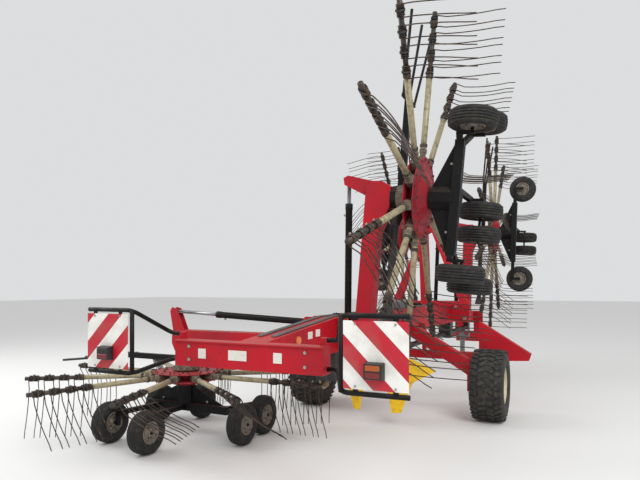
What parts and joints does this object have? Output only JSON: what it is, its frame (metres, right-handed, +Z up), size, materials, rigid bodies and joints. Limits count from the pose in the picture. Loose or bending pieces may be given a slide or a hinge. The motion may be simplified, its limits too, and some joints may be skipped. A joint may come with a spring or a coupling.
{
  "type": "four-rotor rake",
  "caption": "Towed rotary hay rake on a central beam and two transport wheels, rotor arms folded up, one rear rotor lowered, with striped warning boards behind.",
  "frame": {"origin": "middle of the parking foot's underside, on the ground", "axes": "+X to the machine's right, +Y forwards to the tractor, +Z up"},
  "size_m": [5.053, 9.144, 4.2243],
  "materials": {
    "red_paint": "gloss, weathered",
    "black_paint": "satin, dusty",
    "grey_paint": "satin",
    "cream_paint": "satin, dusty",
    "white_board": "white sheet with red diagonal stripes",
    "lamp_lens": "clear red and amber",
    "yellow_plastic": "matt",
    "black_plastic": "matt",
    "worn_steel": "worn, rusty tines",
    "chrome_rod": "bright",
    "tyre_rubber": "matt, dusty",
    "small_tyre": "matt, dusty"
  },
  "bodies": {
    "frame": {"main_beam": "red_paint", "rear_cross_beam": "red_paint", "board_frames": "black_paint", "warning_boards": "white_board", "rear_lamps": "lamp_lens", "axle_frame": "red_paint", "side_outriggers": "red_paint", "mast": "red_paint", "rear_arm_brackets": "red_paint", "front_arm_brackets": "red_paint", "hitch_head": "red_paint", "parking_stand": "grey_paint", "drive_line": "black_plastic", "yellow_guard": "yellow_plastic"},
    "transport_wheel_left": {"transport_tyre_left": "tyre_rubber", "transport_rim_left": "cream_paint"},
    "transport_wheel_right": {"transport_tyre_right": "tyre_rubber", "transport_rim_right": "cream_paint"},
    "rear_right_arm_unit": {"rear_right_arm": "red_paint", "rear_right_undercarriage": "black_paint"},
    "rear_right_rotor": {"rear_right_rotor_hub": "red_paint", "rear_right_tine_arms": "worn_steel"},
    "rear_right_cylinder_barrel": {"rear_right_barrel": "black_paint"},
    "rear_right_cylinder_rod": {"rear_right_rod": "chrome_rod"},
    "rear_right_outer_wheel": {"rear_right_wheel_outer": "small_tyre"},
    "rear_right_outer_front_wheel": {"rear_right_wheel_outer_front": "small_tyre"},
    "rear_right_middle_wheel": {"rear_right_wheel_middle": "small_tyre"},
    "rear_right_inner_wheel": {"rear_right_wheel_inner": "small_tyre"},
    "rear_right_inner_front_wheel": {"rear_right_wheel_inner_front": "small_tyre"},
    "rear_left_arm_unit": {"rear_left_arm": "red_paint", "rear_left_undercarriage": "black_paint"},
    "rear_left_rotor": {"rear_left_rotor_hub": "red_paint", "rear_left_tine_arms": "worn_steel"},
    "rear_left_cylinder_barrel": {"rear_left_barrel": "black_paint"},
    "rear_left_cylinder_rod": {"rear_left_rod": "chrome_rod"},
    "rear_left_rear_inner_wheel": {"rear_left_wheel_rear_inner": "small_tyre"},
    "rear_left_rear_outer_wheel": {"rear_left_wheel_rear_outer": "small_tyre"},
    "rear_left_outer_wheel": {"rear_left_wheel_outer": "small_tyre"},
    "rear_left_front_wheel": {"rear_left_wheel_front": "small_tyre"},
    "rear_left_inner_wheel": {"rear_left_wheel_inner": "small_tyre"},
    "rear_left_inner_front_wheel": {"rear_left_wheel_inner_front": "small_tyre"},
    "front_right_arm_unit": {"front_right_arm": "red_paint", "front_right_undercarriage": "black_paint"},
    "front_right_rotor": {"front_right_rotor_hub": "red_paint", "front_right_tine_arms": "worn_steel"},
    "front_right_cylinder_barrel": {"front_right_barrel": "black_paint"},
    "front_right_cylinder_rod": {"front_right_rod": "chrome_rod"},
    "front_right_outer_wheel": {"front_right_wheel_outer": "small_tyre"},
    "front_right_middle_wheel": {"front_right_wheel_middle": "small_tyre"},
    "front_right_inner_wheel": {"front_right_wheel_inner": "small_tyre"},
    "front_left_arm_unit": {"front_left_arm": "red_paint", "front_left_undercarriage": "black_paint"},
    "front_left_rotor": {"front_left_rotor_hub": "red_paint", "front_left_tine_arms": "worn_steel"},
    "front_left_cylinder_barrel": {"front_left_barrel": "black_paint"},
    "front_left_cylinder_rod": {"front_left_rod": "chrome_rod"},
    "front_left_outer_wheel": {"front_left_wheel_outer": "small_tyre"},
    "front_left_middle_wheel": {"front_left_wheel_middle": "small_tyre"},
    "front_left_inner_wheel": {"front_left_wheel_inner": "small_tyre"}
  },
  "joints": [
    {"name": "transport_wheel_left_spin", "type": "hinge", "parent": "frame", "child": "transport_wheel_left", "pos_m": [-1.2, -4.4, 0.435], "axis": [1, 0, 0], "continuous": true},
    {"name": "transport_wheel_right_spin", "type": "hinge", "parent": "frame", "child": "transport_wheel_right", "pos_m": [1.2, -4.4, 0.435], "axis": [1, 0, 0], "continuous": true},
    {"name": "rear_right_fold", "type": "hinge", "parent": "frame", "child": "rear_right_arm_unit", "pos_m": [0.35, -6.5, 1.08], "axis": [0, 1, 0], "range_deg": [0, 85]},
    {"name": "rear_right_rotor_spin", "type": "hinge", "parent": "rear_right_arm_unit", "child": "rear_right_rotor", "pos_m": [0.89042, -6.5, 2.43807], "axis": [-0.9962, 0, 0.0872], "continuous": true},
    {"name": "rear_right_cylinder_swing", "type": "hinge", "parent": "frame", "child": "rear_right_cylinder_barrel", "pos_m": [0.19, -6.5, 1.28], "axis": [0, 1, 0], "range_deg": [0, 86.69]},
    {"name": "rear_right_cylinder_stroke", "type": "slide", "parent": "rear_right_cylinder_barrel", "child": "rear_right_cylinder_rod", "axis": [0.0118, 0, 0.9999], "range_m": [0, 0.34377]},
    {"name": "rear_right_outer_wheel_spin", "type": "hinge", "parent": "rear_right_arm_unit", "child": "rear_right_outer_wheel", "pos_m": [1.39125, -6.62, 3.05677], "axis": [0.0872, 0, 0.9962], "continuous": true},
    {"name": "rear_right_outer_front_wheel_spin", "type": "hinge", "parent": "rear_right_arm_unit", "child": "rear_right_outer_front_wheel", "pos_m": [1.39996, -6.12, 3.15639], "axis": [0.0872, 0, 0.9962], "continuous": true},
    {"name": "rear_right_middle_wheel_spin", "type": "hinge", "parent": "rear_right_arm_unit", "child": "rear_right_middle_wheel", "pos_m": [1.32065, -5.88, 2.24985], "axis": [0.0872, 0, 0.9962], "continuous": true},
    {"name": "rear_right_inner_wheel_spin", "type": "hinge", "parent": "rear_right_arm_unit", "child": "rear_right_inner_wheel", "pos_m": [1.2762, -6.58, 1.74179], "axis": [0.0872, 0, 0.9962], "continuous": true},
    {"name": "rear_right_inner_front_wheel_spin", "type": "hinge", "parent": "rear_right_arm_unit", "child": "rear_right_inner_front_wheel", "pos_m": [1.26749, -6.12, 1.64217], "axis": [0.0872, 0, 0.9962], "continuous": true},
    {"name": "rear_left_fold", "type": "hinge", "parent": "frame", "child": "rear_left_arm_unit", "pos_m": [-0.35, -6.5, 1.08], "axis": [0, 1, 0], "range_deg": [0, 85]},
    {"name": "rear_left_rotor_spin", "type": "hinge", "parent": "rear_left_arm_unit", "child": "rear_left_rotor", "pos_m": [-1.75, -6.5, 0.66], "axis": [0, 0, 1], "continuous": true},
    {"name": "rear_left_cylinder_swing", "type": "hinge", "parent": "frame", "child": "rear_left_cylinder_barrel", "pos_m": [-0.19, -6.5, 1.28], "axis": [0, 1, 0], "range_deg": [0, 86.69]},
    {"name": "rear_left_cylinder_stroke", "type": "slide", "parent": "rear_left_cylinder_barrel", "child": "rear_left_cylinder_rod", "axis": [0.9989, 0, -0.0467], "range_m": [0, 0.34377]},
    {"name": "rear_left_rear_inner_wheel_spin", "type": "hinge", "parent": "rear_left_arm_unit", "child": "rear_left_rear_inner_wheel", "pos_m": [-1.61, -7.28, 0.215], "axis": [-1, 0, 0], "continuous": true},
    {"name": "rear_left_rear_outer_wheel_spin", "type": "hinge", "parent": "rear_left_arm_unit", "child": "rear_left_rear_outer_wheel", "pos_m": [-2.25, -7.12, 0.215], "axis": [-1, 0, 0], "continuous": true},
    {"name": "rear_left_outer_wheel_spin", "type": "hinge", "parent": "rear_left_arm_unit", "child": "rear_left_outer_wheel", "pos_m": [-2.47, -6.1, 0.215], "axis": [-1, 0, 0], "continuous": true},
    {"name": "rear_left_front_wheel_spin", "type": "hinge", "parent": "rear_left_arm_unit", "child": "rear_left_front_wheel", "pos_m": [-2.07, -5.8, 0.215], "axis": [-1, 0, 0], "continuous": true},
    {"name": "rear_left_inner_wheel_spin", "type": "hinge", "parent": "rear_left_arm_unit", "child": "rear_left_inner_wheel", "pos_m": [-0.95, -6.6, 0.215], "axis": [-1, 0, 0], "continuous": true},
    {"name": "rear_left_inner_front_wheel_spin", "type": "hinge", "parent": "rear_left_arm_unit", "child": "rear_left_inner_front_wheel", "pos_m": [-0.99, -6.13, 0.215], "axis": [-1, 0, 0], "continuous": true},
    {"name": "front_right_fold", "type": "hinge", "parent": "frame", "child": "front_right_arm_unit", "pos_m": [0.35, -1.5, 1.08], "axis": [0, 1, 0], "range_deg": [0, 88]},
    {"name": "front_right_rotor_spin", "type": "hinge", "parent": "front_right_arm_unit", "child": "front_right_rotor", "pos_m": [0.82209, -1.5, 2.56443], "axis": [-0.9994, 0, 0.0349], "continuous": true},
    {"name": "front_right_cylinder_swing", "type": "hinge", "parent": "frame", "child": "front_right_cylinder_barrel", "pos_m": [0.19, -1.5, 1.28], "axis": [0, 1, 0], "range_deg": [0, 89.96]},
    {"name": "front_right_cylinder_stroke", "type": "slide", "parent": "front_right_cylinder_barrel", "child": "front_right_cylinder_rod", "axis": [-0.0426, 0, 0.9991], "range_m": [0, 0.35217]},
    {"name": "front_right_outer_wheel_spin", "type": "hinge", "parent": "front_right_arm_unit", "child": "front_right_outer_wheel", "pos_m": [1.29265, -1.43, 3.28845], "axis": [0, 1, 0], "continuous": true},
    {"name": "front_right_middle_wheel_spin", "type": "hinge", "parent": "front_right_arm_unit", "child": "front_right_middle_wheel", "pos_m": [1.26159, -0.88, 2.39899], "axis": [0.0349, 0, 0.9994], "continuous": true},
    {"name": "front_right_inner_wheel_spin", "type": "hinge", "parent": "front_right_arm_unit", "child": "front_right_inner_wheel", "pos_m": [1.2396, -1.43, 1.76937], "axis": [0, 1, 0], "continuous": true},
    {"name": "front_left_fold", "type": "hinge", "parent": "frame", "child": "front_left_arm_unit", "pos_m": [-0.35, -1.5, 1.08], "axis": [0, -1, 0], "range_deg": [0, 88]},
    {"name": "front_left_rotor_spin", "type": "hinge", "parent": "front_left_arm_unit", "child": "front_left_rotor", "pos_m": [-0.82209, -1.5, 2.56443], "axis": [0.9994, 0, 0.0349], "continuous": true},
    {"name": "front_left_cylinder_swing", "type": "hinge", "parent": "frame", "child": "front_left_cylinder_barrel", "pos_m": [-0.19, -1.5, 1.28], "axis": [0, -1, 0], "range_deg": [0, 89.96]},
    {"name": "front_left_cylinder_stroke", "type": "slide", "parent": "front_left_cylinder_barrel", "child": "front_left_cylinder_rod", "axis": [0.0426, 0, 0.9991], "range_m": [0, 0.35217]},
    {"name": "front_left_outer_wheel_spin", "type": "hinge", "parent": "front_left_arm_unit", "child": "front_left_outer_wheel", "pos_m": [-1.29265, -1.43, 3.28845], "axis": [0, 1, 0], "continuous": true},
    {"name": "front_left_middle_wheel_spin", "type": "hinge", "parent": "front_left_arm_unit", "child": "front_left_middle_wheel", "pos_m": [-1.26159, -0.88, 2.39899], "axis": [-0.0349, 0, 0.9994], "continuous": true},
    {"name": "front_left_inner_wheel_spin", "type": "hinge", "parent": "front_left_arm_unit", "child": "front_left_inner_wheel", "pos_m": [-1.2396, -1.43, 1.76937], "axis": [0, 1, 0], "continuous": true}
  ],
  "couplings": [
    {"joint": "rear_right_cylinder_swing", "follows": "rear_right_fold", "ratio": 1.0194},
    {"joint": "rear_right_cylinder_stroke", "follows": "rear_right_fold", "m_per_rad": 0.23139},
    {"joint": "rear_left_cylinder_swing", "follows": "rear_left_fold", "ratio": 1.0194},
    {"joint": "rear_left_cylinder_stroke", "follows": "rear_left_fold", "m_per_rad": 0.23139},
    {"joint": "front_right_cylinder_swing", "follows": "front_right_fold", "ratio": 1.0217},
    {"joint": "front_right_cylinder_stroke", "follows": "front_right_fold", "m_per_rad": 0.22897},
    {"joint": "front_left_cylinder_swing", "follows": "front_left_fold", "ratio": 1.0217},
    {"joint": "front_left_cylinder_stroke", "follows": "front_left_fold", "m_per_rad": 0.22897}
  ]
}
